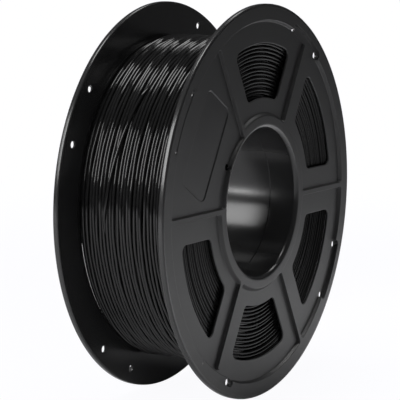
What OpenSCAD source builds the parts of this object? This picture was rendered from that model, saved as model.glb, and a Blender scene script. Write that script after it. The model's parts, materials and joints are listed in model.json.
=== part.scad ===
// Filament spool: two moulded halves whose hubs telescope, and the filament wound between them.
// Millimetres. X runs along the spool's axis, out of the front flange, and Z is up.
// The origin is on the axis, midway between the flanges.
// Angles on a flange are measured from +Y towards +Z.

/* [Flanges] */
// Outside diameter of both flanges
flange_d = 200; // [180:1:220]
// Width of the spool over its two outer faces
spool_w = 61; // [50:0.5:75]
// Thickness of a flange at its rim
rim_t = 2.9; // [2.6:0.1:5]
// Width of the raised rim band
rim_w = 8.5; // [7:0.5:12]
// Rounding of the rim's two outer edges
rim_edge_r = 0.9; // [0.3:0.1:1.4]
// How far the panels lie below the rim's face
panel_recess = 1.7; // [0.6:0.1:2]
// Number of sectors that the ribs divide a flange into
sector_count = 6; // [5:1:8]
// Width of a radial rib
rib_w = 2.7; // [1.5:0.1:5]

/* [Windows] */
// Width of the solid spoke left between two windows
spoke_w = 24.6; // [16:0.2:28]
// Distance from the drum's surface to the windows
window_from_drum = 13; // [8:0.5:18]
// Distance from the rim band to the windows
window_from_rim = 11.2; // [6:0.2:16]
// Rounding of the windows' corners
window_corner_r = 3.5; // [1:0.5:5]

/* [Label panel] */
// Length of the shallow label recess, across the sector
label_l = 50; // [30:1:54]
// Height of the label recess, along the radius
label_h = 24; // [12:1:34]
// Depth of the label recess
label_depth = 0.4; // [0.2:0.1:0.8]
// Rounding of the label recess's corners
label_corner_r = 4; // [1:0.5:6]

/* [Hub] */
// Diameter of the bore
bore_d = 75; // [50:0.5:80]
// Wall of the hub, from the bore to the drum that the filament is wound on
hub_wall = 2.5; // [2:0.1:3.4]
// Width of the raised collar outside the drum's line, beside the windows
collar_w = 4.6; // [3:0.1:7]
// Width of the collar that is left beside the label panel
label_collar_w = 0.8; // [0.4:0.1:2]
// Distance from the front face to the seam inside the bore
bore_seam_x = 15.9; // [10:0.1:20]
// Length over which the two hubs telescope
overlap_l = 21.4; // [12:0.2:24]
// Radial clearance between the rear half's nose and the front half's sleeve
sleeve_gap = 0.08; // [0.02:0.01:0.1]
// Clearance left at each hub's end
seam_gap = 0.15; // [0.05:0.05:0.4]

/* [Holes] */
// Diameter of the hole that takes the filament's inner end
anchor_d = 3.7; // [2.6:0.1:4.4]
// Diameter of the holes in the rim that hold the filament's outer end
tie_hole_d = 3.6; // [2.2:0.1:3.8]
// Angle between the two holes of a pair
tie_spread = 18.5; // [12:0.5:26]
// Number of pairs round a rim
tie_pairs = 4; // [2:1:6]
// Width of the arc-shaped recess that joins a pair
tie_slot_w = 4.4; // [4:0.1:4.8]
// Depth of that recess below the rim's face
tie_slot_depth = 1.9; // [1:0.1:2.2]
// Distance from the recess's middle line to the rim band's inner edge
tie_slot_inset = 1.3; // [1:0.05:3]

/* [Filament] */
// Diameter of the filament
strand_d = 1.75; // [1.55:0.05:2]
// Outside diameter of the winding
wound_d = 167; // [120:1:172]
// Smallest spacing of the turns beside each other
turn_pitch = 1.78; // [1.6:0.01:2.4]
// Smallest spacing of the layers on top of each other
layer_pitch = 1.9; // [1.6:0.05:2.4]
// Gap between the winding and the plastic that it bears on
wind_gap = 0.2; // [0.1:0.05:0.4]
// Turns that the outermost layer leaves free beside the rear flange
end_turns_left = 2; // [2:1:20]
// How far the outer end stands out of the rear flange
end_out = 5; // [2:0.5:12]

/* [Hidden] */

$fn = 96;
eps = 0.01;
// A computed arc gets a point at least every so many degrees.
arc_step = 3;
// Cuts run this far past the face that they open.
past = 1;
plastic_black = [0.16, 0.16, 0.17];
filament_black = [0.07, 0.07, 0.08];

flange_r = flange_d / 2;
half_w = spool_w / 2;
inner_x = half_w - rim_t;
panel_x = half_w - panel_recess;
rim_in_r = flange_r - rim_w;

bore_r = bore_d / 2;
drum_r = bore_r + hub_wall;
joint_r = bore_r + hub_wall / 2;
collar_r = drum_r + collar_w;
label_collar_r = drum_r + label_collar_w;
// The bore's mouth is rounded over the whole hub wall.
mouth_r = hub_wall;
seam_in_x = half_w - bore_seam_x;
seam_out_x = seam_in_x - overlap_l;

window_in_r = drum_r + window_from_drum;
window_out_r = rim_in_r - window_from_rim;
half_sector = 180 / sector_count;
// The sector at the upper left of the front face holds the label panel.
label_sector = 2;
label_angle = (label_sector + 0.5) * 360 / sector_count;
label_mid_r = (label_collar_r + rim_in_r) / 2;

tie_r = rim_in_r + tie_slot_inset;
tie_first = 60;

// The strand's first turn lies on the drum, and its start leaves beside it through the anchor hole.
first_turn_r = drum_r + wind_gap + strand_d / 2;
anchor_r = first_turn_r + strand_d * 0.3;
wound_r = wound_d / 2;
wind_half = inner_x - wind_gap;
turns = floor((2 * wind_half - strand_d) / turn_pitch) + 1;
turn_step = (2 * wind_half - strand_d) / (turns - 1);
layers = floor((wound_r - first_turn_r - strand_d / 2) / layer_pitch) + 1;
layer_step = (wound_r - first_turn_r - strand_d / 2) / (layers - 1);

// The outer end's way from the winding to its hole: how far round before the hole in degrees,
// and how far out from the winding's top turn to the hole, and across to the rear flange, as shares.
end_route = [[40, 0, 0], [34, 0, 0.03], [28, 0.04, 0.08], [22, 0.16, 0.15], [17, 0.36, 0.23],
             [12, 0.58, 0.32], [8, 0.76, 0.42], [5, 0.89, 0.52], [2.4, 0.97, 0.64], [0.8, 0.995, 0.78]];
// The last turn leaves the winding this many turns before the rear flange.
end_start_x = strand_d / 2 + end_turns_left * turn_step - wind_half;
end_hole_angle = tie_first + 270 - tie_spread / 2;
end_sides = 8;
end_rings_per_point = 4;

// ---- Helpers ----

// Turns a drawing on the XY plane, with its height along Z, so that it faces along the spool's axis.
module on_axis() {
    rotate([90, 0, 90]) children();
}

// Repeats a drawing once in each sector that is named.
module in_sectors(list) {
    for (k = list) rotate((k + 0.5) * 360 / sector_count) children();
}

// The point that lies dist inside the rib's middle line and radius from the axis,
// in a sector whose middle line is the X axis.
function beside_rib(radius, dist) =
    sqrt(radius * radius - dist * dist) * [cos(half_sector), sin(half_sector)]
    + dist * [sin(half_sector), -cos(half_sector)];

function arc(middle, radius, from, to) =
    let (steps = ceil(abs(to - from) / arc_step))
    [for (i = [0 : steps])
        let (a = from + (to - from) * i / steps) middle + radius * [cos(a), sin(a)]];

// A sector of a ring with rounded corners, as the outline on one side of the X axis and its mirror image.
// Its sides run parallel to the ribs, edge away from their middle lines.
module rounded_sector(r_in, r_out, edge, corner) {
    out_c = beside_rib(r_out - corner, edge + corner);
    in_c = beside_rib(r_in + corner, edge + corner);
    out_a = atan2(out_c[1], out_c[0]);
    in_a = atan2(in_c[1], in_c[0]);
    side_a = 90 + half_sector;
    outline = concat(
        arc([0, 0], r_out, 0, out_a),
        arc(out_c, corner, out_a, side_a),
        arc(in_c, corner, side_a, in_a + 180),
        arc([0, 0], r_in, in_a, 0));
    polygon(outline);
    mirror([0, 1]) polygon(outline);
}

// The same with sharp corners and true round edges.
module sharp_sector(r_in, r_out, edge) {
    tip = edge / sin(half_sector);
    reach = 2 * r_out;
    intersection() {
        difference() {
            circle(r_out);
            circle(r_in);
        }
        polygon([[tip, 0],
                 [tip + reach * cos(half_sector), -reach * sin(half_sector)],
                 [tip + reach * cos(half_sector), reach * sin(half_sector)]]);
    }
}

module rounded_rect(l, h, corner) {
    square([l - 2 * corner, h], center = true);
    square([l, h - 2 * corner], center = true);
    for (x = [-1, 1], y = [-1, 1])
        translate([x * (l / 2 - corner), y * (h / 2 - corner)]) circle(corner);
}

// A flat shape cut from the outer face to a depth below it.
module cut_from_face(depth) {
    translate([0, 0, half_w - depth]) linear_extrude(depth + past) children();
}

module cut_through() {
    translate([0, 0, inner_x - past]) linear_extrude(rim_t + 2 * past) children();
}

// ---- The flange, with its outer face towards +Z ----

// Cross-sections: the radius is along X, the axis along Y.
module box(r_from, r_to, x_from, x_to) {
    translate([r_from, x_from]) square([r_to - r_from, x_to - x_from]);
}

// The disc, its rounded edge, and the hub's wall up to the rounded mouth of the bore.
module flange_section() {
    box(drum_r, flange_r - rim_edge_r, inner_x, half_w);
    box(joint_r, flange_r - rim_edge_r, inner_x, half_w - mouth_r);
    box(drum_r, flange_r, inner_x + rim_edge_r, half_w - rim_edge_r);
    for (x = [inner_x + rim_edge_r, half_w - rim_edge_r])
        translate([flange_r - rim_edge_r, x]) circle(rim_edge_r);
    intersection() {
        translate([drum_r, half_w - mouth_r]) circle(mouth_r);
        box(bore_r, drum_r + eps, half_w - 2 * mouth_r, half_w);
    }
}

module panel_outline(collar) {
    sharp_sector(collar, rim_in_r, rib_w / 2);
}

module window_outline() {
    rounded_sector(window_in_r, window_out_r, spoke_w / 2, window_corner_r);
}

module tie_slot_outline() {
    half = tie_spread / 2;
    end_r = tie_slot_w / 2;
    outline = concat(
        arc([0, 0], tie_r + end_r, 0, half),
        arc(tie_r * [cos(half), sin(half)], end_r, half, half + 180),
        arc([0, 0], tie_r - end_r, half, 0));
    polygon(outline);
    mirror([0, 1]) polygon(outline);
}

module tie_recesses_and_holes() {
    for (k = [0 : tie_pairs - 1]) rotate(tie_first + k * 360 / tie_pairs) {
        cut_from_face(tie_slot_depth) tie_slot_outline();
        for (a = [-1, 1]) rotate(a * tie_spread / 2)
            cut_through() translate([tie_r, 0]) circle(tie_hole_d / 2);
    }
}

// One half: the flange with a hub of the shape that is given as its cross-section.
module half() {
    window_sectors = [for (k = [0 : sector_count - 1]) if (k != label_sector) k];
    difference() {
        rotate_extrude() {
            flange_section();
            children();
        }
        cut_from_face(panel_recess) in_sectors(window_sectors) panel_outline(collar_r);
        cut_from_face(panel_recess) in_sectors([label_sector]) panel_outline(label_collar_r);
        cut_through() in_sectors(window_sectors) window_outline();
        cut_from_face(panel_recess + label_depth) in_sectors([label_sector])
            translate([label_mid_r, 0]) rounded_rect(label_h, label_l, label_corner_r);
        cut_through() rotate(label_angle) translate([anchor_r, 0]) circle(anchor_d / 2);
        tie_recesses_and_holes();
    }
}

// ---- The sub-parts ----

// Front flange, the full hub wall down to the seam in the bore, and the outer sleeve beyond it.
module front_half() {
    color(plastic_black) on_axis() half() {
        box(bore_r, drum_r, seam_in_x, half_w - mouth_r);
        box(joint_r + sleeve_gap / 2, drum_r, seam_out_x, inner_x);
    }
}

// Rear flange, the full hub wall up to the seam on the drum, and the nose that fills the sleeve.
// It is made facing the front and turned round by the mirror.
module rear_half() {
    color(plastic_black) mirror([1, 0, 0]) on_axis() half() {
        box(bore_r, drum_r, seam_gap - seam_out_x, half_w - mouth_r);
        box(bore_r, joint_r - sleeve_gap / 2, seam_gap - seam_in_x, inner_x);
    }
}

// The winding, as closed rings side by side. Its outer row and its two sides show single turns.
module filament_winding() {
    outer_turn_r = wound_r - strand_d / 2;
    color(filament_black) on_axis() rotate_extrude() {
        translate([drum_r + wind_gap, -wind_half + strand_d / 2])
            square([outer_turn_r - drum_r - wind_gap, 2 * wind_half - strand_d]);
        for (i = [0 : turns - 1])
            translate([outer_turn_r, -wind_half + strand_d / 2 + i * turn_step]) circle(strand_d / 2);
        for (k = [0 : layers - 2], side = [-1, 1])
            translate([first_turn_r + k * layer_step, side * (wind_half - strand_d / 2)]) circle(strand_d / 2);
    }
}

// The strand's inner end, in the front flange's anchor hole.
module filament_start() {
    length = panel_x - wind_half;
    color(filament_black) on_axis() rotate(label_angle)
        translate([first_turn_r, 0, wind_half]) cylinder(d = strand_d, h = length);
}

function smooth(a, b, c, d, t) =
    0.5 * (2 * b + (c - a) * t + (2 * a - 5 * b + 4 * c - d) * t * t + (3 * b - a - 3 * c + d) * t * t * t);

function around(p) = [p[0], p[2] * cos(p[1]), p[2] * sin(p[1])];

function unit(v) = v / norm(v);

// The outer end's middle line, from the winding's top turn through the hole and out of the rear face.
function end_places() =
    let (
        lift_r = wound_r + strand_d / 2 + wind_gap,
        plain = [for (p = end_route)
            [end_start_x + (-inner_x - end_start_x) * p[2], end_hole_angle - p[0], lift_r + (tie_r - lift_r) * p[1]]],
        straight = [for (x = [-inner_x, -panel_x, -half_w, -half_w - end_out]) [x, end_hole_angle, tie_r]])
    concat(plain, straight);

// More places between the ones above, on a curve through them.
function end_line() =
    let (p = end_places(), last = len(p) - 1)
    concat(
        [for (i = [0 : last - 1], k = [0 : end_rings_per_point - 1])
            around(smooth(p[max(i - 1, 0)], p[i], p[i + 1], p[min(i + 2, last)], k / end_rings_per_point))],
        [around(p[last])]);

// The strand's outer end, tucked through a rim hole of the rear flange.
module filament_end() {
    line = end_line();
    last = len(line) - 1;
    ring_points = [for (i = [0 : last])
        let (
            along = unit(line[min(i + 1, last)] - line[max(i - 1, 0)]),
            outward = unit([0, line[i][1], line[i][2]]),
            across = unit(cross(along, outward)),
            up = cross(across, along))
        for (s = [0 : end_sides - 1])
            line[i] + strand_d / 2 * (cos(s * 360 / end_sides) * across + sin(s * 360 / end_sides) * up)];
    walls = [for (i = [0 : last - 1], s = [0 : end_sides - 1])
        let (a = i * end_sides + s, b = i * end_sides + (s + 1) % end_sides)
        [a, b, b + end_sides, a + end_sides]];
    first_cap = [for (s = [end_sides - 1 : -1 : 0]) s];
    last_cap = [for (s = [0 : end_sides - 1]) last * end_sides + s];
    color(filament_black) polyhedron(ring_points, concat([first_cap, last_cap], walls), 4);
}

front_half();
rear_half();
filament_winding();
filament_start();
filament_end();
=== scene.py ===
# %% [markdown]
# # A full filament spool
#
# The spool is two black mouldings whose hubs slide into each other, with one long
# strand of plastic filament wound between them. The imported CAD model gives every
# size. This notebook keeps those sizes and adds what CAD leaves out: the soft
# fillets that catch the light on the flanges, and the single turns of the strand.

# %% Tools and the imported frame
import json

import bpy
import numpy as np
from mathutils import Matrix, Vector
from mathutils.bvhtree import BVHTree
from mathutils.geometry import delaunay_2d_cdt


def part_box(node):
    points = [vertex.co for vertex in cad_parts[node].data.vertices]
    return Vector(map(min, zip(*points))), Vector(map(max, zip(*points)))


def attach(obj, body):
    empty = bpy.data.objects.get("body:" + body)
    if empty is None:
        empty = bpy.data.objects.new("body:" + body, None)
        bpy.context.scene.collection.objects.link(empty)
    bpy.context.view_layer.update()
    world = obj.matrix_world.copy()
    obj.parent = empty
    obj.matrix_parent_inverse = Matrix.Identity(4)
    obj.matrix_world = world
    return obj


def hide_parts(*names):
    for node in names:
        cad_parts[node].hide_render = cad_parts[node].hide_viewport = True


MM = 0.001
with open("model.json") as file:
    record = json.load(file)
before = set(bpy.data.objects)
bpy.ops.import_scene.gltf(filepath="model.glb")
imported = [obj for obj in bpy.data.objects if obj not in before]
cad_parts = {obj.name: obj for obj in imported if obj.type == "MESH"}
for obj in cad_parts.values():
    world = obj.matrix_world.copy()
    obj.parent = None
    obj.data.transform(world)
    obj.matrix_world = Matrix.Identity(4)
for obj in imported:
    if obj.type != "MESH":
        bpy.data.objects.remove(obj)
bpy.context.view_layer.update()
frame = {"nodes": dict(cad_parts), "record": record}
print("CAD nodes:", sorted(frame["nodes"]))

# %% [markdown]
# ## The camera, settled by points in the photograph
#
# The front flange is seen as a narrow ellipse, so the camera stands to its left and
# a little above. Its direction, distance and focal length were fitted to the two
# flanges' outlines and to the windows, the bore and the ribs. The points are in the
# photograph's frame of 400 by 400, x to the right and y down.

# %% Image points
FRAME_W, FRAME_H = 400, 400
IMAGE_EDGES = {"left": 53.0, "right": 345.3, "top": 0.2, "bottom": 399.0}
IMAGE_POINTS = {
    "front_rim_left": (156.5, 231.0),
    "rear_rim_bottom": (143.0, 384.7),
    "bore_top": (264.0, 126.0),
    "bore_bottom": (254.0, 276.0),
    "bore_right": (300.0, 190.0),
    "window_top": (262.0, 72.0),
    "window_upper_right": (313.0, 123.0),
    "window_lower_right": (310.0, 256.0),
    "window_bottom": (258.0, 328.0),
    "window_lower_left": (203.0, 287.0),
    "anchor_hole": (228.0, 166.9),
    "tie_hole_upper_right": (292.0, 28.0),
    "tie_hole_lower_left": (226.0, 381.0),
    "rear_tie_hole": (103.0, 347.0),
    "loose_turn": (118.0, 152.0),
}

# %% Camera
LENS_MM, SENSOR_MM = 160.6, 36.0
AZIMUTH, ELEVATION, ROLL = np.radians([29.55, 7.48, 0.65])
CAMERA_DISTANCE = 903.5 * MM
CAMERA_AIM = np.array([2.05, -15.50, 0.74]) * MM


def camera_axes(azimuth, elevation, roll):
    """Right, up and backward directions: backward is (sin a cos e, -cos a cos e, sin e), and the
    level right and its up are turned about it by the roll."""
    sa, ca, se, ce = np.sin(azimuth), np.cos(azimuth), np.sin(elevation), np.cos(elevation)
    back = np.array([sa * ce, -ca * ce, se])
    level = np.array([ca, sa, 0.0])
    up = np.cross(back, level)
    return level * np.cos(roll) + up * np.sin(roll), up * np.cos(roll) - level * np.sin(roll), back


def standing(right, up, back, place):
    """The matrix that gives an object these three directions and this place."""
    turned = np.stack([right, up, back], 1)
    return Matrix([[*row, p] for row, p in zip(turned, place)] + [[0, 0, 0, 1]])


CAM_RIGHT, CAM_UP, CAM_BACK = camera_axes(AZIMUTH, ELEVATION, ROLL)
CAM_PLACE = CAMERA_AIM + CAM_BACK * CAMERA_DISTANCE
camera_data = bpy.data.cameras.new("photo_camera")
camera_data.lens, camera_data.sensor_width, camera_data.sensor_fit = LENS_MM, SENSOR_MM, "AUTO"
camera = bpy.data.objects.new("photo_camera", camera_data)
camera.matrix_world = standing(CAM_RIGHT, CAM_UP, CAM_BACK, CAM_PLACE)
bpy.context.scene.collection.objects.link(camera)
bpy.context.scene.camera = camera
PIXELS_PER_TAN = max(FRAME_W, FRAME_H) * LENS_MM / SENSOR_MM


def to_image(points):
    """Image x and y: the offsets along the camera's right and up over the depth, times the focal length."""
    away = np.atleast_2d(points) - CAM_PLACE
    depth = -away @ CAM_BACK
    return np.stack([FRAME_W / 2 + PIXELS_PER_TAN * (away @ CAM_RIGHT) / depth,
                     FRAME_H / 2 - PIXELS_PER_TAN * (away @ CAM_UP) / depth], 1)


print("camera at", np.round(CAM_PLACE / MM, 1), "mm")

# %% [markdown]
# ## Surfaces from arrays
#
# Everything new is a patch: a grid of points with the direction that the surface
# faces at each point. A rounded edge is a profile carried along an outline. Patches
# are worked out as whole arrays, and joined where their points meet. Each corner of
# a face keeps the direction of its own patch, so flats stay flat up to the fillet.

# %% Patches


def grid_faces(rows, columns, closed_rows=False, closed_columns=False):
    """Quads between neighbours of a rows by columns grid, wrapping round where a direction is closed."""
    i = np.arange(rows if closed_rows else rows - 1)[:, None]
    j = np.arange(columns if closed_columns else columns - 1)[None, :]
    a, b = (i + 0 * j), (i + 1 + 0 * j) % rows
    c, d = (j + 0 * i), (j + 1 + 0 * i) % columns
    return np.stack([a * columns + c, b * columns + c, b * columns + d, a * columns + d], -1).reshape(-1, 4)


def weld(name, patches, grain=1e-6):
    """One mesh from patches of (points, normals, faces): points closer than the grain become one, faces
    that lose a corner become triangles, and each face corner keeps its patch's normal."""
    points = np.concatenate([p for p, _, _ in patches])
    normals = np.concatenate([n for _, n, _ in patches])
    starts = np.cumsum([0] + [len(p) for p, _, _ in patches])
    _, first, same = np.unique(np.round(points / grain).astype(np.int64), axis=0,
                               return_index=True, return_inverse=True)
    same = same.reshape(-1)
    corners, sizes = [], []
    for (_, _, faces), start in zip(patches, starts):
        faces = faces + start
        ids = same[faces]
        keep = ids != np.roll(ids, 1, axis=1)
        whole = keep.sum(1) >= 3
        corners.append(faces[whole][keep[whole]])
        sizes.append(keep[whole].sum(1))
    corners, sizes = np.concatenate(corners), np.concatenate(sizes)
    mesh = bpy.data.meshes.new(name)
    mesh.vertices.add(len(first))
    mesh.vertices.foreach_set("co", points[first].astype(np.float32).ravel())
    mesh.loops.add(len(corners))
    mesh.loops.foreach_set("vertex_index", same[corners].astype(np.int32))
    mesh.polygons.add(len(sizes))
    mesh.polygons.foreach_set("loop_start", (np.cumsum(sizes) - sizes).astype(np.int32))
    mesh.update(calc_edges=True)
    mesh.polygons.foreach_set("use_smooth", np.ones(len(sizes), bool))
    mesh.normals_split_custom_set(normals[corners].astype(np.float32))
    piece = bpy.data.objects.new(name, mesh)
    bpy.context.scene.collection.objects.link(piece)
    print(name, len(first), "points,", int((sizes - 2).sum()), "triangles")
    return piece


def unit(v):
    return v / np.maximum(np.linalg.norm(v, axis=-1, keepdims=True), 1e-12)


def polar(radius, degrees):
    a = np.radians(degrees)
    return np.stack([radius * np.cos(a), radius * np.sin(a)], -1)


# %% [markdown]
# ### Outlines
#
# A moulded pocket's outline is arcs joined by straight lines. The pocket lies to the
# left of the outline. An arc that turns left bulges out of the pocket, and one that
# turns right goes round a corner of the plastic. The outline also carries the width
# of the slope that falls into the pocket, because the walls beside the ribs are
# steep and the ones at the rim and the collar are gentle.

# %% Outlines and strips


class Outline:
    """A closed chain of arcs (centre, radius, from, to in degrees), each with the slope's width at its
    ends."""

    def __init__(self, spacing=1.4 * MM):
        self.points, self.outward, self.width, self.spacing = [], [], [], spacing

    def arc(self, centre, radius, start, end, width=0.0, end_width=None):
        turn = abs(end - start)
        steps = max(3, int(np.ceil(np.radians(turn) * radius / self.spacing)), int(np.ceil(turn / 12)))
        t = np.linspace(0, 1, steps + 1)
        spoke = polar(1.0, start + (end - start) * t)
        self.points.append(np.asarray(centre) + radius * spoke)
        self.outward.append(spoke if end > start else -spoke)
        final = width if end_width is None else end_width
        self.width.append(width + (final - width) * t * t * (3 - 2 * t))
        return self

    def arrays(self):
        p, n, w = (np.concatenate(x) for x in (self.points, self.outward, self.width))
        near = np.linalg.norm(p - np.roll(p, 1, 0), axis=1) > 0.01 * MM
        return p[near], n[near], w[near]


def circle_outline(centre, radius, steps):
    spoke = polar(1.0, np.arange(steps) * 360 / steps)
    return np.asarray(centre) + radius * spoke, spoke, np.zeros(steps)


def strip(outline, out, height):
    """A profile carried along an outline. At profile step j the surface stands out[.., j] outside the
    outline and height[.., j] along the axis. It faces to the left of the profile's direction, with out
    drawn to the right and height drawn up."""
    p, n, _ = outline
    out = np.broadcast_to(out, (len(p), np.shape(out)[-1]))
    height = np.broadcast_to(height, out.shape)
    flat = p[:, None] + n[:, None] * out[..., None]
    points = np.concatenate([height[..., None], flat], -1)
    rise, run = np.gradient(height, axis=1), np.gradient(out, axis=1)
    sideways = -rise[..., None] * np.broadcast_to(n[:, None], flat.shape)
    facing = unit(np.concatenate([run[..., None], sideways], -1))
    faces = grid_faces(*out.shape, closed_rows=True)[:, ::-1]
    return points.reshape(-1, 3), facing.reshape(-1, 3), faces


def edge_loop(patch, outline, step):
    """The points of one profile step of a strip, in order round the outline."""
    return patch[0].reshape(len(outline[0]), -1, 3)[:, step]


def inside(points, loop):
    """Even-odd test: a point is inside where a line from it along +y crosses the loop an odd number of
    times."""
    a, b = loop, np.roll(loop, -1, 0)
    x, y = points[:, :1], points[:, 1:]
    span = (a[:, 0] > x) != (b[:, 0] > x)
    gap = np.where(a[:, 0] == b[:, 0], 1e-30, b[:, 0] - a[:, 0])
    above = a[:, 1] + (x - a[:, 0]) * (b[:, 1] - a[:, 1]) / gap > y
    return (span & above).sum(1) % 2 == 1


def flat_fill(border, holes=(), lines=(), facing=1.0):
    """Triangles over the area inside a border loop and outside the holes. Lines are extra edges to follow."""
    loops = [border, *holes]
    rings = loops + list(lines)
    points = np.concatenate(rings)
    edges, start = [], 0
    for k, ring in enumerate(rings):
        i = np.arange(len(ring)) + start
        edges.append(np.stack([i, np.roll(i, -1)], 1)[: len(ring) if k < len(loops) else len(ring) - 1])
        start += len(ring)
    flat = [Vector(p) for p in (points[:, 1:] / MM).tolist()]
    out, _, triangles, origin, _, _ = delaunay_2d_cdt(flat, np.concatenate(edges).tolist(), [], 0, 1e-5)
    source = np.array([o[0] if o else -1 for o in origin])
    placed = points[source]
    for i in np.where(source < 0)[0]:
        placed[i] = border[0, 0], out[i].x * MM, out[i].y * MM
        print("flat_fill: two outlines cross at", np.round(placed[i] / MM, 2))
    faces = np.array(triangles)
    middle = placed[faces, 1:].mean(1)
    keep = inside(middle, border[:, 1:])
    for hole in holes:
        keep &= ~inside(middle, hole[:, 1:])
    faces = faces[keep]
    a, b, c = (placed[faces[:, k]] for k in range(3))
    normal = unit(np.cross(b - a, c - a))
    turned = normal[:, 0] * facing < 0
    faces[turned] = faces[turned][:, ::-1]
    normal[turned] *= -1
    corners = faces.reshape(-1)
    return placed[corners], np.repeat(normal, 3, 0), np.arange(len(corners)).reshape(-1, 3)

# %% [markdown]
# ## The moulded flange
#
# The outer face has six pockets between raised ribs, a raised rim band and a raised
# collar round the bore. Round-ended slots in the rim join pairs of small holes, where
# the strand's end is tucked in. Five pockets have a window, and the sixth has a
# shallow recess for a label, which is left bare.
#
# A Bevel modifier would round all the edges alike. Here the slope at the rim and the
# collar is a gentle S about 2 mm wide, and the walls of the ribs and slots are steep,
# so each outline carries its own slope width.

# %% Sizes of the flange, in metres
front_low, front_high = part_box("front_half")
rear_low, rear_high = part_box("rear_half")
HALF_WIDTH, FLANGE_R = front_high.x, front_high.y
BORE_R, MOUTH_R = frame["record"]["mounts"][0]["dims"]["r_mm"] * MM, 2.5 * MM
DRUM_R = BORE_R + MOUTH_R
INNER_FACE, RIM_EDGE_R = HALF_WIDTH - 2.9 * MM, 0.9 * MM
PANEL, SLOT_FLOOR = HALF_WIDTH - 1.7 * MM, HALF_WIDTH - 1.9 * MM
LABEL_FLOOR = PANEL - 0.4 * MM
RIM_STEP_R, COLLAR_R, LABEL_COLLAR_R = 91.5 * MM, 44.6 * MM, 40.8 * MM
RIB_HALF, RIB_END_R = 1.35 * MM, 89.9 * MM
RIM_SLOPE, COLLAR_SLOPE, LABEL_SLOPE = 1.2 * MM, 2.0 * MM, 1.3 * MM
RIB_SLOPE, SLOT_SLOPE, STEP_HALF = 0.62 * MM, 0.4 * MM, 0.12 * MM
TIE_R, TIE_HOLE_R, TIE_SLOT_HALF, TIE_HALF_SPREAD = 92.8 * MM, 1.8 * MM, 2.2 * MM, 9.25
TIE_ANGLES = (60, 150, 240, 330)
ANCHOR_R, ANCHOR_HOLE_R = 42.2 * MM, 1.72 * MM
WINDOW_ANGLES, LABEL_ANGLE = (30, 90, 210, 270, 330), 150
ROOT_R, SLEEVE_HALF_GAP, SEAM_GAP = 0.3 * MM, 0.04 * MM, 0.15 * MM
ROUND_STEPS = 240
print("half width", round(HALF_WIDTH / MM, 2), "flange radius", round(FLANGE_R / MM, 2), "mm")


def beside(radius, aside, rib):
    """The point at this radius from the axis and this far to the left of the rib's middle line."""
    along = polar(1.0, rib)
    return np.sqrt(radius**2 - aside**2) * along + aside * np.array([-along[1], along[0]])


def bearing(v, about):
    """The direction of v in degrees, within half a turn of the given angle."""
    return about + (np.degrees(np.arctan2(v[1], v[0])) - about + 180) % 360 - 180


def corner_aside(centre_r, reach, circle_r):
    """How far round from a cut at centre_r a fillet's middle lies: it is circle_r from the axis and reach
    from the cut's middle, by the law of cosines."""
    return np.degrees(np.arccos((centre_r**2 + circle_r**2 - reach**2) / (2 * centre_r * circle_r)))


# %% Outlines of the pockets


def rim_run(outline, start, end):
    """Along the rim band, anticlockwise, out round each slot that lies between start and end."""
    place, fillet = start, 0.5 * MM
    aside = corner_aside(TIE_R, TIE_SLOT_HALF + fillet, RIM_STEP_R + fillet)
    for tie in [t for t in TIE_ANGLES if start < t < end]:
        first, last = tie - TIE_HALF_SPREAD, tie + TIE_HALF_SPREAD
        corner_a, corner_b = (polar(RIM_STEP_R + fillet, a) for a in (first - aside, last + aside))
        end_a, end_b = polar(TIE_R, first), polar(TIE_R, last)
        into, away = bearing(end_a - corner_a, first + 90), bearing(corner_b - end_b, last + 90)
        outline.arc((0, 0), RIM_STEP_R, place, first - aside - 1.6, RIM_SLOPE)
        outline.arc((0, 0), RIM_STEP_R, first - aside - 1.6, first - aside, RIM_SLOPE, 0.8 * MM)
        outline.arc(corner_a, fillet, first - aside + 180, into, 0.8 * MM, SLOT_SLOPE)
        outline.arc(end_a, TIE_SLOT_HALF, into - 180, first, SLOT_SLOPE)
        outline.arc((0, 0), TIE_R + TIE_SLOT_HALF, first, last, SLOT_SLOPE)
        outline.arc(end_b, TIE_SLOT_HALF, last, away, SLOT_SLOPE)
        outline.arc(corner_b, fillet, away + 180, last + aside + 180, SLOT_SLOPE, 0.8 * MM)
        outline.arc((0, 0), RIM_STEP_R, last + aside, last + aside + 1.6, 0.8 * MM, RIM_SLOPE)
        place = last + aside + 1.6
    outline.arc((0, 0), RIM_STEP_R, place, end, RIM_SLOPE)


def collar_run(outline, collar_r, start, end, width):
    """Along the collar, clockwise, and in round the anchor hole where that cuts the collar."""
    if collar_r == LABEL_COLLAR_R:
        fillet, cut, thin = 0.35 * MM, ANCHOR_HOLE_R + 0.25 * MM, 0.3 * MM
        aside = corner_aside(ANCHOR_R, cut + fillet, collar_r - fillet)
        first, last = LABEL_ANGLE + aside, LABEL_ANGLE - aside
        hole = polar(ANCHOR_R, LABEL_ANGLE)
        corner_a, corner_b = (polar(collar_r - fillet, a) for a in (first, last))
        into, away = bearing(hole - corner_a, LABEL_ANGLE - 60), bearing(corner_b - hole, LABEL_ANGLE + 240)
        outline.arc((0, 0), collar_r, start, first + 3, width)
        outline.arc((0, 0), collar_r, first + 3, first, width, thin)
        outline.arc(corner_a, fillet, first, into, thin)
        outline.arc(hole, cut, into + 180, away, thin)
        outline.arc(corner_b, fillet, away - 180, last, thin)
        outline.arc((0, 0), collar_r, last, last - 3, thin, width)
        start = last - 3
    outline.arc((0, 0), collar_r, start, end, width)


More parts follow.
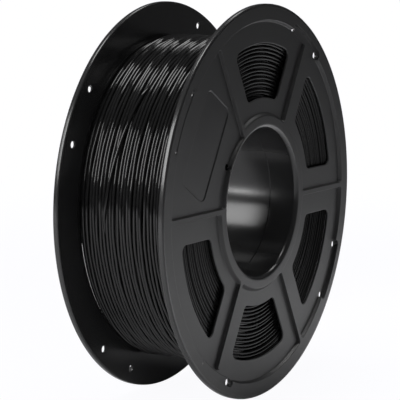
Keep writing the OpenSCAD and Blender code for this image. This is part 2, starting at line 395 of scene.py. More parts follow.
def pocket_outline(first_rib, last_rib, collar_r=COLLAR_R, corner=1.3 * MM):
    """Outline of the pocket between two ribs. It walks round a rib between them, which ends short of a
    slot."""
    slope = LABEL_SLOPE if collar_r == LABEL_COLLAR_R else COLLAR_SLOPE
    far, near, aside = RIM_STEP_R - corner, collar_r + corner, RIB_HALF + corner
    outline = Outline()
    out_a, out_b = beside(far, aside, first_rib), beside(far, -aside, last_rib)
    a, b = bearing(out_a, first_rib), bearing(out_b, last_rib)
    outline.arc(out_a, corner, first_rib - 90, a, RIB_SLOPE, RIM_SLOPE)
    rim_run(outline, a, b)
    outline.arc(out_b, corner, b, last_rib + 90, RIM_SLOPE, RIB_SLOPE)
    for rib in range(last_rib, first_rib, -60):
        left, right = beside(near, -aside, rib), beside(near, aside, rib - 60)
        start, end = bearing(left, rib), bearing(right, rib - 60)
        outline.arc(left, corner, rib + 90, start + 180, RIB_SLOPE, slope)
        collar_run(outline, collar_r, start, end, slope)
        outline.arc(right, corner, end + 180, rib + 210, slope, RIB_SLOPE)
        if rib - 60 > first_rib:
            round_r, along = 0.6 * MM, polar(1.0, rib - 60)
            across = (RIB_HALF - round_r) * np.array([-along[1], along[0]])
            tip = (RIB_END_R - round_r) * along
            outline.arc(tip + across, round_r, rib + 30, rib - 60, RIB_SLOPE)
            outline.arc(tip - across, round_r, rib - 60, rib - 150, RIB_SLOPE)
    return outline.arrays()


def window_outline(middle, r_in=53.0 * MM, r_out=80.3 * MM, edge=12.3 * MM, corner=3.5 * MM):
    """Outline of a window: a piece of a ring whose sides run beside the ribs, with rounded corners."""
    a, b, out_r, in_r = middle - 30, middle + 30, r_out - corner, r_in + corner
    outline = Outline(1.0 * MM)
    corners = [beside(out_r, edge + corner, a), beside(out_r, -edge - corner, b),
               beside(in_r, -edge - corner, b), beside(in_r, edge + corner, a)]
    turn = [bearing(c, middle) for c in corners]
    outline.arc(corners[0], corner, a - 90, turn[0]).arc((0, 0), r_out, turn[0], turn[1])
    outline.arc(corners[1], corner, turn[1], b + 90).arc(corners[2], corner, b + 90, turn[2] + 180)
    outline.arc((0, 0), r_in, turn[2], turn[3]).arc(corners[3], corner, turn[3] + 180, a + 270)
    return outline.arrays()


def label_outline(length=50 * MM, height=24 * MM, corner=4 * MM):
    """A rounded rectangle half way between the collar and the rim, with its long side across the sector."""
    outline, out, across = Outline(1.0 * MM), polar(1.0, LABEL_ANGLE), polar(1.0, LABEL_ANGLE + 90)
    middle = (LABEL_COLLAR_R + RIM_STEP_R) / 2 * out
    for k, (i, j) in enumerate([(1, 1), (-1, 1), (-1, -1), (1, -1)]):
        place = middle + i * (height / 2 - corner) * out + j * (length / 2 - corner) * across
        outline.arc(place, corner, LABEL_ANGLE + 90 * k, LABEL_ANGLE + 90 * k + 90, 0.5 * MM)
    return outline.arrays()


pockets = [pocket_outline(0, 120), pocket_outline(120, 180, LABEL_COLLAR_R),
           pocket_outline(180, 300), pocket_outline(300, 360)]
print("pocket outlines:", [len(p[0]) for p in pockets], "points")

# %% Profiles of the edges


def from_slot(flat_points):
    """How far points lie from the middle line of the nearest slot: an arc at TIE_R, with its two ends."""
    radius = np.linalg.norm(flat_points, axis=-1)
    turn = np.degrees(np.arctan2(flat_points[..., 1], flat_points[..., 0]))
    past = np.maximum(np.abs((turn - TIE_ANGLES[0] + 45) % 90 - 45) - TIE_HALF_SPREAD, 0)
    end = polar(1.0, past)
    return np.hypot(radius * end[..., 0] - TIE_R, radius * end[..., 1])


def floor_height(flat_points):
    """The panel's level, and the slot floor's level inside a slot, with a short smooth step between them."""
    t = np.clip((TIE_SLOT_HALF + STEP_HALF - from_slot(flat_points)) / (2 * STEP_HALF), 0, 1)
    return PANEL + (SLOT_FLOOR - PANEL) * t * t * (3 - 2 * t)


def slot_step(tie, aside, past):
    """A line on the panel side of a slot, this far from its middle line, that turns this far round its
    ends."""
    first, last = tie - TIE_HALF_SPREAD, tie + TIE_HALF_SPREAD
    line = Outline(1.0 * MM)
    line.arc(polar(TIE_R, first), aside, first + 180 - past, first + 180)
    line.arc((0, 0), TIE_R - aside, first, last)
    line.arc(polar(TIE_R, last), aside, last + 180, last + 180 + past)
    return line.arrays()[0]


def slope(outline, low=None, high=HALF_WIDTH, steps=10):
    """A slope as half a sine wave, from the floor inside the outline to the level outside it."""
    p, n, width = outline
    t = np.linspace(-1, 1, steps)
    out = width[:, None] / 2 * t
    if low is None:
        low = floor_height(p - n * width[:, None] / 2)[:, None]
    return strip(outline, out, low + (high - low) * (1 + np.sin(np.pi / 2 * t)) / 2)


def rounding(middle_out, middle_height, radius, start, end, steps=6):
    """Points of an arc in a profile."""
    a = np.radians(np.linspace(start, end, steps))
    return np.stack([middle_out + radius * np.cos(a), middle_height + radius * np.sin(a)], 1)


def through_wall(outline, top, top_r, back_r):
    """A cut's wall, from the inner face up to the level on top, with both edges rounded."""
    profile = np.concatenate([rounding(back_r, INNER_FACE + back_r, back_r, 270, 180, 4),
                              rounding(top_r, top - top_r, top_r, 180, 90, 6)])
    return strip(outline, profile[:, 0], profile[:, 1])


def revolve(profile):
    """A run of (radius, height) points turned round the axis."""
    ring = circle_outline((0, 0), BORE_R, ROUND_STEPS)
    return strip(ring, profile[:, 0] - BORE_R, profile[:, 1])


def ring_at(radius, height):
    circle = polar(radius, np.arange(ROUND_STEPS) * 360 / ROUND_STEPS)
    return np.concatenate([np.full((ROUND_STEPS, 1), height), circle], 1)


# %% The flange


def flange_patches():
    """All the patches of a flange whose outer face looks along +X: slopes, walls, and the flats between
    them."""
    patches, top_loops, back_loops = [], [], []
    fills = [[] for _ in pockets]
    slots = [[] for _ in pockets]

    def pocket_at(angle):
        return next(k for k, last in enumerate((120, 180, 300, 360)) if angle < last)

    walls = [slope(p) for p in pockets]
    for wall, p in zip(walls, pockets):
        patches.append(wall)
        top_loops.append(edge_loop(wall, p, -1))
    cuts = [(window_outline(a), a, PANEL, 0.45 * MM, 0.2 * MM) for a in WINDOW_ANGLES]
    for tie in TIE_ANGLES:
        for hole in (tie - TIE_HALF_SPREAD, tie + TIE_HALF_SPREAD):
            ring = circle_outline(polar(TIE_R, hole), TIE_HOLE_R, 28)
            cuts.append((ring, tie, SLOT_FLOOR, 0.08 * MM, 0.15 * MM))
    ring = circle_outline(polar(ANCHOR_R, LABEL_ANGLE), ANCHOR_HOLE_R, 36)
    cuts.append((ring, LABEL_ANGLE, PANEL, 0.06 * MM, 0.15 * MM))
    for outline, angle, top, top_r, back_r in cuts:
        wall = through_wall(outline, top, top_r, back_r)
        patches.append(wall)
        fills[pocket_at(angle)].append(edge_loop(wall, outline, -1))
        back_loops.append(edge_loop(wall, outline, 0))
    label = label_outline()
    recess = slope(label, LABEL_FLOOR, PANEL, 6)
    patches += [recess, flat_fill(edge_loop(recess, label, 0))]
    fills[pocket_at(LABEL_ANGLE)].append(edge_loop(recess, label, -1))
    for tie in TIE_ANGLES:
        for aside, past in ((TIE_SLOT_HALF + STEP_HALF, 36), (TIE_SLOT_HALF - STEP_HALF, 24)):
            flat = slot_step(tie, aside, past)
            slots[pocket_at(tie)].append(np.concatenate([floor_height(flat)[:, None], flat], 1))
    for wall, p, holes, lines in zip(walls, pockets, fills, slots):
        patches.append(flat_fill(edge_loop(wall, p, 0), holes, lines))
    edge = FLANGE_R - RIM_EDGE_R
    rim = np.concatenate([rounding(edge, HALF_WIDTH - RIM_EDGE_R, RIM_EDGE_R, 90, 0, 7),
                          rounding(edge, INNER_FACE + RIM_EDGE_R, RIM_EDGE_R, 0, -90, 7)])
    patches.append(revolve(rim))
    top_loops.append(ring_at(DRUM_R, HALF_WIDTH))
    back_loops.append(ring_at(DRUM_R + ROOT_R, INNER_FACE))
    patches.append(flat_fill(ring_at(edge, HALF_WIDTH), top_loops))
    patches.append(flat_fill(ring_at(edge, INNER_FACE), back_loops, facing=-1.0))
    return patches


def hub_patches(full_to, reach_to, sleeve):
    """The hub inside a flange: the drum's wall, the joint's sleeve or nose, the bore and its rounded
    mouth. The full wall ends at full_to, and the sleeve or nose at reach_to."""
    joint_r = (BORE_R + DRUM_R) / 2 + (SLEEVE_HALF_GAP if sleeve else -SLEEVE_HALF_GAP)
    small = 0.25 * MM
    root = rounding(DRUM_R + ROOT_R, INNER_FACE - ROOT_R, ROOT_R, 90, 180, 4)
    mouth = rounding(DRUM_R, HALF_WIDTH - MOUTH_R, MOUTH_R, 180, 90, 12)
    outer_end, inner_end = (reach_to, full_to) if sleeve else (full_to, reach_to)
    runs = [[*root, (DRUM_R, outer_end)],
            [(DRUM_R, outer_end), (joint_r, outer_end)],
            [(joint_r, outer_end), (joint_r, inner_end)],
            [(joint_r, inner_end), *rounding(BORE_R + small, inner_end + small, small, 270, 180, 5), *mouth]]
    return [revolve(np.array(run)) for run in runs]


def turned_to_rear(patches):
    """The mirror image across the spool's middle, with its faces turned the right way out again."""
    flip = np.array([-1.0, 1.0, 1.0])
    return [(p * flip, n * flip, f[:, ::-1]) for p, n, f in patches]


SEAM_X, SLEEVE_END = 14.6 * MM, front_low.x
flange = flange_patches()
front_moulding = weld("front_moulding", flange + hub_patches(SEAM_X, SLEEVE_END, True))
rear_hub = hub_patches(SEAM_GAP - SLEEVE_END, -rear_high.x, False)
rear_moulding = weld("rear_moulding", turned_to_rear(flange + rear_hub))
for piece, node, body in ((front_moulding, "front_half", "front_side"),
                          (rear_moulding, "rear_half", "rear_side")):
    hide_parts(node)
    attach(piece, body)

# %% [markdown]
# ## The strand
#
# One plastic strand fills the spool in some twenty layers. Only its outer turns and
# the turns against the flanges can be seen, so those are made one by one, round a
# plain core. The last layer runs back across the layer under it, rises over each
# turn it crosses, and wanders a little, as on a spool that was wound fast.
#
# A screw modifier on a circle gives only even turns. Here each turn's place along
# the drum and its radius are formulas of the angle.

# %% Sizes of the strand
winding_low, winding_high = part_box("filament_winding")
start_low, start_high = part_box("filament_start")
end_low, end_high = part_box("filament_end")
WIND_HALF, WOUND_R = winding_high.x, winding_high.z
STRAND_R = (start_high.y - start_low.y) / 2
UNDER_TURNS, TOP_TURNS, LAYERS = 30, 26, 22
UNDER_PITCH = 2 * (WIND_HALF - STRAND_R) / (UNDER_TURNS - 1)
TOP_RISE, CROSSING_RISE = 1.62 * MM, 0.12 * MM
UNDER_R = WOUND_R - STRAND_R - TOP_RISE - CROSSING_RISE
LAYER_STEP = (WOUND_R - DRUM_R) / LAYERS
END_HOLE_ANGLE = TIE_ANGLES[-1] - TIE_HALF_SPREAD
TOP_LAST_ANGLE = END_HOLE_ANGLE - 58
TOP_LAST_X = end_high.x - STRAND_R
print("strand", round(2 * STRAND_R / MM, 2), "mm; pitch under the top", round(UNDER_PITCH / MM, 3), "mm")

# %% Tubes


def tube(path, sides=9, radius=STRAND_R):
    """A round strand along a path that circles the x axis. Its ring lies across the path, measured from
    the outward direction, and it is open at both ends."""
    along = unit(np.gradient(path, axis=0))
    outward = path * [0, 1, 1]
    across = unit(np.cross(along, outward))
    up = np.cross(across, along)
    a = np.arange(sides)[:, None] * 2 * np.pi / sides
    spoke = across[:, None] * np.cos(a) + up[:, None] * np.sin(a)
    rings = path[:, None] + radius * spoke
    faces = grid_faces(*rings.shape[:2], closed_columns=True)
    return rings.reshape(-1, 3), spoke.reshape(-1, 3), faces


def tube_ends(path, sides=9, radius=STRAND_R):
    """The two flat ends of the tube along the same path."""
    rings = tube(path, sides, radius)[0].reshape(-1, sides, 3)
    caps = []
    for k, facing in ((0, path[0] - path[1]), (-1, path[-1] - path[-2])):
        middle = np.broadcast_to(path[k], (1, sides, 3))
        points = np.concatenate([middle, rings[k][None]]).reshape(-1, 3)
        faces = grid_faces(2, sides, closed_columns=True)
        caps.append((points, np.broadcast_to(unit(facing), points.shape), faces[:, ::-1] if k else faces))
    return caps


def around(x, radius, degrees):
    return np.stack([x, *(radius * polar(1.0, degrees).T)], 1)


def under_x(turns):
    """Place along the drum of the layer under the top, which is wound towards the front flange."""
    return UNDER_PITCH * turns - (WIND_HALF - STRAND_R)


def top_x(turns):
    """Place of the top layer: even turns towards the rear, plus two slow waves that open and close its
    gaps and a quick one that bends it."""
    even = WIND_HALF - STRAND_R + (TOP_LAST_X - WIND_HALF + STRAND_R) * turns / TOP_TURNS
    ends = np.clip(np.minimum(turns, TOP_TURNS - turns) / 1.5, 0, 1)
    wave = 0.17 * np.sin(2 * np.pi * (0.37 * turns + 0.1)) + 0.16 * np.sin(2 * np.pi * (0.231 * turns + 0.6))
    return even + (wave + 0.1 * np.sin(2 * np.pi * 3.12 * turns)) * ends * MM


def top_r(turns, degrees):
    """The top layer's radius: highest where it crosses a turn of the layer under it, lowest between two. It
    also springs up and down a little along the way, by tenths of a millimetre over a few centimetres."""
    between = (top_x(turns) - under_x(degrees / 360)) / UNDER_PITCH
    spring = 0.16 * np.sin(2 * np.pi * 15.37 * turns) + 0.1 * np.sin(2 * np.pi * (23.21 * turns + 0.3))
    return UNDER_R + TOP_RISE + CROSSING_RISE * np.cos(2 * np.pi * between) + spring * MM


def side_turns(side, steps_per_turn=200):
    """The turns that close the layers at a flange, one for each layer. They lie about a millimetre in,
    more or less, and the outermost ones come out to the flange."""
    t = np.linspace(0, LAYERS - 1.15, int((LAYERS - 1.15) * steps_per_turn))
    uneven = 0.16 * MM * np.sin(2 * np.pi * (0.43 * t + 0.2 * side))
    radius = DRUM_R + STRAND_R + LAYER_STEP * 0.98 * t + uneven
    outermost = np.clip((t - LAYERS + 5) / 3, 0, 1)
    lumps = np.sin(2 * np.pi * (0.29 * t + 0.15)) * np.sin(2 * np.pi * 1.37 * t)
    depth = STRAND_R + (0.05 + (1 - outermost) * (1.0 + 0.3 * lumps)) * MM
    return around(side * (WIND_HALF - depth), radius, side * 360 * t)


# %% Winding
STEPS_PER_TURN = 240
turns = np.linspace(0, UNDER_TURNS - 1, (UNDER_TURNS - 1) * STEPS_PER_TURN)
under_path = around(under_x(turns), np.full(len(turns), UNDER_R), 360 * turns)
turns = np.linspace(0, TOP_TURNS, TOP_TURNS * STEPS_PER_TURN)
top_angle = TOP_LAST_ANGLE - 360 * (TOP_TURNS - turns)
top_path = around(top_x(turns), top_r(turns, top_angle), top_angle)

core_r, core_half, core_in = UNDER_R - 0.6 * MM, WIND_HALF - 2.6 * MM, DRUM_R + 0.2 * MM
core = np.array([(core_in, core_half), (core_r, core_half), (core_r, -core_half), (core_in, -core_half),
                 (core_in, core_half)])
winding_core = weld("winding_core", [revolve(core[k:k + 2]) for k in range(4)])
winding_under = weld("winding_under", [tube(under_path), *tube_ends(under_path)])
winding_top = weld("winding_top", [tube(top_path, 10), *tube_ends(top_path, 10)])
winding_sides = []
for name, side in (("winding_front", 1), ("winding_rear", -1)):
    path = side_turns(side)
    winding_sides.append(weld(name, [tube(path, 8), *tube_ends(path, 8)]))

# %% The strand's two ends
# Degrees before the hole, share of the way out to the hole's radius, share of the way from the
# top layer's last turn to the flange: the route of the CAD strand, which springs up from the winding.
END_ROUTE = [(40, 0, 0), (34, 0, 0.03), (28, 0.04, 0.08), (22, 0.16, 0.15), (17, 0.36, 0.23),
             (12, 0.58, 0.32), (8, 0.76, 0.42), (5, 0.89, 0.52), (2.4, 0.97, 0.64), (0.8, 0.995, 0.78)]


def through_points(points, steps=6):
    """A smooth path through the points: cubic pieces whose slope at a point follows its neighbours."""
    p = np.concatenate([2 * points[:1] - points[1:2], points, 2 * points[-1:] - points[-2:-1]])
    t = (np.arange(steps) / steps)[:, None]
    a, b, c, d = (p[k:len(p) - 3 + k, None] for k in range(4))
    curve = 0.5 * (2 * b + (c - a) * t + (2 * a - 5 * b + 4 * c - d) * t**2 + (3 * b - a - 3 * c + d) * t**3)
    return np.concatenate([curve.reshape(-1, points.shape[1]), points[-1:]])


lift_r = WOUND_R + STRAND_R + 0.2 * MM
before, out_share, along_share = np.array(END_ROUTE).T
route = np.stack([TOP_LAST_X + (-INNER_FACE - TOP_LAST_X) * along_share,
                  lift_r + (TIE_R - lift_r) * out_share, END_HOLE_ANGLE - before], 1)
joining = np.array([(top_x(t), top_r(t, a), a) for t, a in
                    ((TOP_TURNS - 0.02, TOP_LAST_ANGLE - 7.2), (TOP_TURNS + 0.0, TOP_LAST_ANGLE))])
straight = np.array([(x, TIE_R, END_HOLE_ANGLE) for x in (-INNER_FACE, -PANEL, -HALF_WIDTH, end_low.x)])
end_path = around(*through_points(np.concatenate([joining, route, straight])).T)
filament_end = weld("filament_end_strand", [tube(end_path, 12), *tube_ends(end_path, 12)])

start_r = np.hypot((start_low.y + start_high.y) / 2, (start_low.z + start_high.z) / 2)
# Places along the axis and degrees past the hole: from the hole's outer end in under the first turns.
START_ROUTE = [(start_high.x, 0), (WIND_HALF + 1.2 * MM, 0), (WIND_HALF, 0.6), (WIND_HALF - 1.1 * MM, 3),
               (WIND_HALF - 1.8 * MM, 7), (WIND_HALF - 2 * MM, 20)]
start_route = np.array([(x, start_r, LABEL_ANGLE + past) for x, past in START_ROUTE])
start_path = around(*through_points(start_route).T)
filament_start = weld("filament_start_strand", [tube(start_path, 12), *tube_ends(start_path, 12)])

# %% [markdown]
# ### A loose turn
#
# In the photograph one stretch of the strand lies across its neighbours at a steeper
# angle. It is placed by its point in the picture: the ray through that point meets
# the top layer, and the stretch runs over that spot and dives between the turns on
# both sides.

# %% Placing by the photograph


def on_surface(name, *carriers):
    """Where the ray through a named image point meets the pieces that carry the thing. On a miss it is
    the place on them that lies nearest to the ray."""
    x, y = IMAGE_POINTS[name]
    long_side = max(FRAME_W, FRAME_H)
    shift_x, shift_y = camera_data.shift_x, camera_data.shift_y
    axes = np.stack([CAM_RIGHT, CAM_UP, CAM_BACK])
    ray = np.array([x - FRAME_W / 2 + shift_x * long_side, FRAME_H / 2 - y + shift_y * long_side,
                    -long_side * LENS_MM / SENSOR_MM]) @ axes
    start, ray = Vector(CAM_PLACE), Vector(ray).normalized()
    hits = []
    for carrier in carriers:
        mesh = carrier.data
        tree = BVHTree.FromPolygons([v.co for v in mesh.vertices], [p.vertices for p in mesh.polygons])
        place, _, _, away = tree.ray_cast(start, ray)
        if place is None:
            near = [tree.find_nearest(start + ray * d) for d in np.linspace(0.7, 1.1, 81)]
            place, _, _, gap = min(near, key=lambda found: found[3])
            away = 10 + gap
        hits.append((away, place))
    return np.array(min(hits, key=lambda hit: hit[0])[1])


# %% Loose turn
LOOSE_REACH, LOOSE_DRIFT = 62.0, 5.6 * MM
loose_at = on_surface("loose_turn", winding_top, winding_under)
loose_angle = np.degrees(np.arctan2(loose_at[2], loose_at[1]))
t = np.linspace(-1, 1, 220)
lie = np.clip((1 - np.abs(t)) / 0.35, 0, 1)
lie = lie * lie * (3 - 2 * lie)
loose_r = UNDER_R + (WOUND_R + 0.55 * STRAND_R - UNDER_R) * lie
loose_path = around(loose_at[0] + LOOSE_DRIFT * t, loose_r, loose_angle - LOOSE_REACH / 2 * t)
loose_turn = weld("loose_turn", [tube(loose_path, 10), *tube_ends(loose_path, 10)])
print("loose turn at", np.round(loose_at / MM, 1), "mm, bearing", round(loose_angle, 1))

strand_pieces = [winding_core, winding_under, winding_top, *winding_sides,
                 loose_turn, filament_end, filament_start]
for piece in strand_pieces:
    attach(piece, "rear_side")
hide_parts("filament_winding")
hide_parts("filament_end")
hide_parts("filament_start")

# %% [markdown]
# ## Finishes
#
# The mouldings are one black plastic: satin with a fine grain on the outer faces, and
# smoother between the flanges and in the bore, where the mould was polished. The
# strand is the same black, but glossy, because it left its nozzle hot. Its gloss
# changes slowly along its length. The turns behind the windows get a duller copy of
# this finish that reflects less: painted shade, which darkens them as the shade of
# the window recess would.
# Nothing here needs an image.

# %% Shader expressions


class Value:
    """A node's output. Arithmetic on it adds Math nodes to its graph."""

    def __init__(self, graph, socket):
        self.graph, self.socket = graph, socket

    def math(self, operation, a, b):
        return self.graph.add("ShaderNodeMath", {"operation": operation}, {0: a, 1: b})

    def __add__(self, other):
        return self.math("ADD", self, other)

    def __mul__(self, other):
        return self.math("MULTIPLY", self, other)

    def __sub__(self, other):
        return self.math("SUBTRACT", self, other)

    def __rsub__(self, other):
        return self.math("SUBTRACT", other, self)

    __radd__, __rmul__ = __add__, __mul__


class Graph:
    """A node tree that is emptied and then filled by add()."""

    def __init__(self, owner):
        owner.use_nodes = True
        self.tree = owner.node_tree
        self.tree.nodes.clear()

    def add(self, kind, settings=None, inputs=None, output=0):
        node = self.tree.nodes.new(kind)
        for name, value in (settings or {}).items():
            setattr(node, name, value)
        for socket, value in (inputs or {}).items():
            if isinstance(value, Value):
                self.tree.links.new(value.socket, node.inputs[socket])
            else:
                node.inputs[socket].default_value = value
        return Value(self, node.outputs[output]) if node.outputs else None

    def single(self, operation, value):
        """A Math node with one input."""
        return self.add("ShaderNodeMath", {"operation": operation}, {0: value})

    def between(self, value, low, high, to_low=0.0, to_high=1.0):
        """The value's range from low to high, spread smoothly over another range and held past its ends."""
        return self.add("ShaderNodeMapRange", {"interpolation_type": "SMOOTHSTEP"},
                        {"Value": value, "From Min": low, "From Max": high,
                         "To Min": to_low, "To Max": to_high})

    def blend(self, factor, a, b):
        """A colour that goes from a to b."""
        return self.add("ShaderNodeMix", {"data_type": "RGBA"}, {"Factor": factor, 6: a, 7: b}, output=2)


def grey(level):
    return (level, level, level * 1.02, 1.0)


def finish_with(material_name, build):
    """A material whose graph gets its own object-space coordinates and ends in the shader that build
    returns."""
    material = bpy.data.materials.new(material_name)
    graph = Graph(material)
    place = graph.add("ShaderNodeTexCoord", output=3)
    surface = build(graph, place)
    graph.add("ShaderNodeOutputMaterial", None, {"Surface": surface})
    return material


def noise(graph, place, size, detail=2.0, roughness=0.5):
    """Noise between about 0.3 and 0.7 whose lumps are the given size."""
    return graph.add("ShaderNodeTexNoise", None,
                     {"Vector": place, "Scale": 1 / size, "Detail": detail, "Roughness": roughness})


# %% Moulded plastic
PLASTIC_LOW, PLASTIC_HIGH = 0.02, 0.024
PLASTIC_ROUGH, POLISHED_ROUGH = 0.42, 0.21


def moulded_plastic(graph, place):
    """Black plastic. The grain and the satin are on what faces along the axis outside, and the rest is
    polished."""
    x, y, z = (graph.add("ShaderNodeSeparateXYZ", None, {0: place}, output=k) for k in range(3))
    deep = graph.single("ABSOLUTE", x)
    radius = graph.single("SQRT", y * y + z * z)
    outside = graph.between(deep, INNER_FACE + 0.4 * MM, INNER_FACE + 1.2 * MM)
    past_bore = graph.between(radius, DRUM_R - 1.6 * MM, DRUM_R + 0.4 * MM)
    inside_rim = graph.between(radius, FLANGE_R - 2.0 * MM, FLANGE_R - 1.0 * MM, 1.0, 0.0)
    textured = outside * past_bore * inside_rim
    flow = noise(graph, place, 38 * MM, 3.0)
    specks = noise(graph, place, 0.5 * MM, 2.0, 0.6)
    colour = graph.blend(graph.between(flow, 0.35, 0.65), grey(PLASTIC_LOW), grey(PLASTIC_HIGH))
    rough = graph.between(textured + (flow - 0.5) * 0.25, 0, 1, POLISHED_ROUGH, PLASTIC_ROUGH)
    grain = graph.add("ShaderNodeBump", None,
                      {"Strength": 0.35, "Distance": 0.03 * MM, "Height": specks * textured})
    return graph.add("ShaderNodeBsdfPrincipled", None,
                     {"Base Color": colour, "Roughness": rough, "IOR": 1.57, "Normal": grain})


# %% Strand plastic
STRAND_LOW, STRAND_HIGH = 0.008, 0.01
STRAND_ROUGH, STRAND_IOR = 0.1, 1.45
# Painted shade: the side turns' finish reflects less than the strand's own, which darkens the turns behind
# the windows.
SHADED_SIDE_ROUGH, SHADED_SIDE_IOR = 0.24, 1.26


def strand_plastic(graph, place, gloss=STRAND_ROUGH, ior=STRAND_IOR):
    """Glossy black. Its gloss drifts over a few centimetres, and faint ripples run across it from the
    nozzle."""
    drift = noise(graph, place, 16 * MM, 2.0)
    ripple = noise(graph, place, 1.2 * MM, 1.0)
    colour = graph.blend(graph.between(drift, 0.35, 0.65), grey(STRAND_LOW), grey(STRAND_HIGH))
    rough = graph.between(drift, 0.3, 0.7, gloss - 0.03, gloss + 0.04)
    surface = graph.add("ShaderNodeBump", None, {"Strength": 0.04, "Distance": 0.02 * MM, "Height": ripple})
    return graph.add("ShaderNodeBsdfPrincipled", None,
                     {"Base Color": colour, "Roughness": rough, "IOR": ior, "Normal": surface})


def rubbed_strand(graph, place):
    """A duller copy of the strand's finish for the side turns, which reflects less: painted shade. Its IOR is
    below the plastic's own, set to match the photograph.
    """
    return strand_plastic(graph, place, SHADED_SIDE_ROUGH, SHADED_SIDE_IOR)


plastic = finish_with("moulded_plastic", moulded_plastic)
strand_finish = finish_with("strand_plastic", strand_plastic)
# The side turns get the painted-shade copy of the strand finish.
side_finish = finish_with("rubbed_strand", rubbed_strand)
for piece in (front_moulding, rear_moulding):
    piece.data.materials.append(plastic)
for piece in strand_pieces:
    piece.data.materials.append(side_finish if piece in winding_sides else strand_finish)
print("materials:", [m.name for m in bpy.data.materials])

# %% [markdown]
# ## Floor, world and lamps
#
# The photograph's background is plain white. The floor is pale and takes the spool's
# shadow, and the world is white to the camera only. Black plastic shows its shape by
# what it reflects. The pale floor lights the outer face from below, and a small lamp
# brightens it near the spool. Each band of glints on the strand is the mirror image
# of one long lamp.

# %% Floor and world
FLOOR_SHOWN, WORLD_LEVEL = 0.95, 0.065
FLOOR_NEAR, FLOOR_FAR = 0.3, 0.9


def pale_floor(graph, place):
    """White board. For the camera most of its colour is its own, so that it meets the white background."""
    camera_ray = graph.add("ShaderNodeLightPath", output=0)
    away = graph.add("ShaderNodeVectorMath", {"operation": "LENGTH"}, {0: place}, output=1)
    shown = graph.between(away, FLOOR_NEAR, FLOOR_FAR, FLOOR_SHOWN, 1.0)
    board = graph.add("ShaderNodeBsdfDiffuse", None, {"Color": grey(0.85)})
    glow = graph.add("ShaderNodeEmission", None, {"Color": grey(1.0), "Strength": 1.0})
    return graph.add("ShaderNodeMixShader", None, {0: camera_ray * shown, 1: board, 2: glow})


floor_z, floor_half = rear_low.z, 3.0
floor_mesh = bpy.data.meshes.new("pale_floor")
floor_corners = [(x * floor_half, y * floor_half, floor_z) for x, y in ((-1, -1), (1, -1), (1, 1), (-1, 1))]
floor_mesh.from_pydata(floor_corners, [], [(0, 1, 2, 3)])
floor = bpy.data.objects.new("pale_floor", floor_mesh)
floor_mesh.materials.append(finish_with("pale_board", pale_floor))
bpy.context.scene.collection.objects.link(floor)

world = bpy.data.worlds.new("white_room")
bpy.context.scene.world = world
bpy.context.scene.view_settings.view_transform = "Standard"
room = Graph(world)
seen = room.add("ShaderNodeLightPath", output=0)
level = WORLD_LEVEL + seen * (1 - WORLD_LEVEL)
white = room.add("ShaderNodeBackground", None, {"Color": grey(1.0), "Strength": level})
room.add("ShaderNodeOutputWorld", None, {"Surface": white})

# %% Lamps


def add_lamp(name, axes, place, along, across, radiance, spread=180.0):
    """A flat lamp with its right, up and back directions. A surface of radiance L sends out pi times L
    per area. The spread in degrees keeps its light to a cone."""
    data = bpy.data.lights.new(name, "AREA")
    data.shape, data.size, data.size_y, data.spread = "RECTANGLE", along, across, np.radians(spread)
    data.energy = np.pi * radiance * along * across
    lamp = bpy.data.objects.new(name, data)
    lamp.matrix_world = standing(*axes, place)
    lamp.visible_camera = False
    bpy.context.scene.collection.objects.link(lamp)


def lamp_facing(name, place, target, *size_and_light):
    """A lamp at a place, turned to a target, with its long side level across the line to it."""
    back = unit(np.array(place) - target)
    right = unit(np.cross((0, 0, 1.0), back))
    add_lamp(name, (right, np.cross(back, right), back), place, *size_and_light)


def lamp_round_axis(name, start, end, left, right, radiance, distance=1.2):
    """A long lamp that fills the bearings from start to end round the spool's axis, and reaches from left
    to right along it, in metres. Its width is twice the distance times the tangent of half the angle."""
    middle, half = np.radians((start + end) / 2), np.radians((end - start) / 2)
    out = np.array([0, np.cos(middle), np.sin(middle)])
    across = np.array([0, np.sin(middle), -np.cos(middle)])
    place = distance * out + [(left + right) / 2, 0, 0]
    add_lamp(name, ([1.0, 0, 0], across, out), place, right - left, 2 * distance * np.tan(half), radiance)


# Bearings from and to in degrees, ends along the axis in metres, radiance.
LONG_LAMPS = {
    "behind": (50, 59, -0.45, 0.6, 3.3),
    "overhead": (84, 101, -0.5, 0.3, 6.5),
    "front": (132, 167, -0.75, 0.0, 7.5),
}
for name, settings in LONG_LAMPS.items():
    lamp_round_axis(name, *settings)
# Place, target, size along and across, radiance, spread.
lamp_facing("over_the_floor", (0.17, 0.25, 0.3), (0.16, 0.24, -0.1), 0.12, 0.12, 6.0, 70.0)
lamp_facing("through_the_bore", (-0.060, -0.068, -0.012), (0, 0, 0), 0.018, 0.0045, 28.0)
print("lamps:", [lamp.name for lamp in bpy.data.lights])
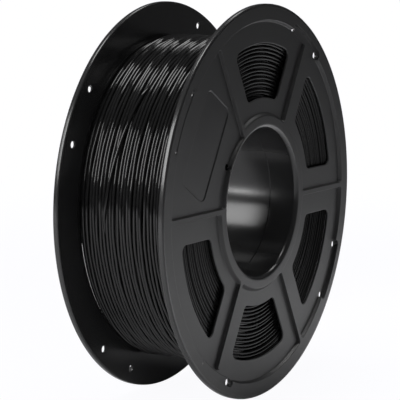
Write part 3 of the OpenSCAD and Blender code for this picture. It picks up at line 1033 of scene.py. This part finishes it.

# %% [markdown]
# ## How close it came
# The model's own points are put through the same camera and set against the points
# read from the photograph. The image box of all that is shown is set against the
# listed image edges.

# %% Points and edges
def corners(piece):
    """All the vertices of a piece, in metres."""
    place = np.empty(len(piece.data.vertices) * 3, np.float32)
    piece.data.vertices.foreach_get("co", place)
    return place.reshape(-1, 3)


def middle_of(points):
    """The middle of the image box round some points of the model."""
    shown = to_image(points)
    return (shown.min(0) + shown.max(0)) / 2


def on_flange(height, radius, degrees):
    return np.array([[height, *polar(radius, degrees)]])


def outline_at(outline, height):
    return np.concatenate([np.full((len(outline[0]), 1), height), outline[0]], 1)


whole = to_image(np.concatenate([corners(p) for p in (front_moulding, rear_moulding, *strand_pieces)]))
rim_front, rim_rear = to_image(corners(front_moulding)), to_image(corners(rear_moulding))
mouth = to_image(ring_at(BORE_R + 0.3 * MOUTH_R, HALF_WIDTH - 0.3 * MOUTH_R))
shown = {
    "front_rim_left": rim_front[rim_front[:, 0].argmin()],
    "rear_rim_bottom": rim_rear[rim_rear[:, 1].argmax()],
    "bore_top": mouth[mouth[:, 1].argmin()],
    "bore_bottom": mouth[mouth[:, 1].argmax()],
    "bore_right": mouth[mouth[:, 0].argmax()],
    "anchor_hole": middle_of(on_flange(PANEL, ANCHOR_R, LABEL_ANGLE)),
    "tie_hole_upper_right": middle_of(on_flange(SLOT_FLOOR, TIE_R, TIE_ANGLES[0] + TIE_HALF_SPREAD)),
    "tie_hole_lower_left": middle_of(on_flange(SLOT_FLOOR, TIE_R, TIE_ANGLES[2] + TIE_HALF_SPREAD)),
    "rear_tie_hole": middle_of(on_flange(-INNER_FACE, TIE_R, TIE_ANGLES[2] - TIE_HALF_SPREAD)),
    "loose_turn": middle_of(loose_at[None]),
}
for name, angle in (("top", 90), ("upper_right", 30), ("lower_right", 330),
                    ("bottom", 270), ("lower_left", 210)):
    shown["window_" + name] = middle_of(outline_at(window_outline(angle), PANEL))
report = {name: [round(float(v), 1) for v in shown[name] - np.array(point)]
          for name, point in IMAGE_POINTS.items()}
edges = {"left": whole[:, 0].min(), "right": whole[:, 0].max(),
         "top": whole[:, 1].min(), "bottom": whole[:, 1].max()}
report.update({name: round(float(edges[name] - value), 1) for name, value in IMAGE_EDGES.items()})
print("off by, in pixels:", report)
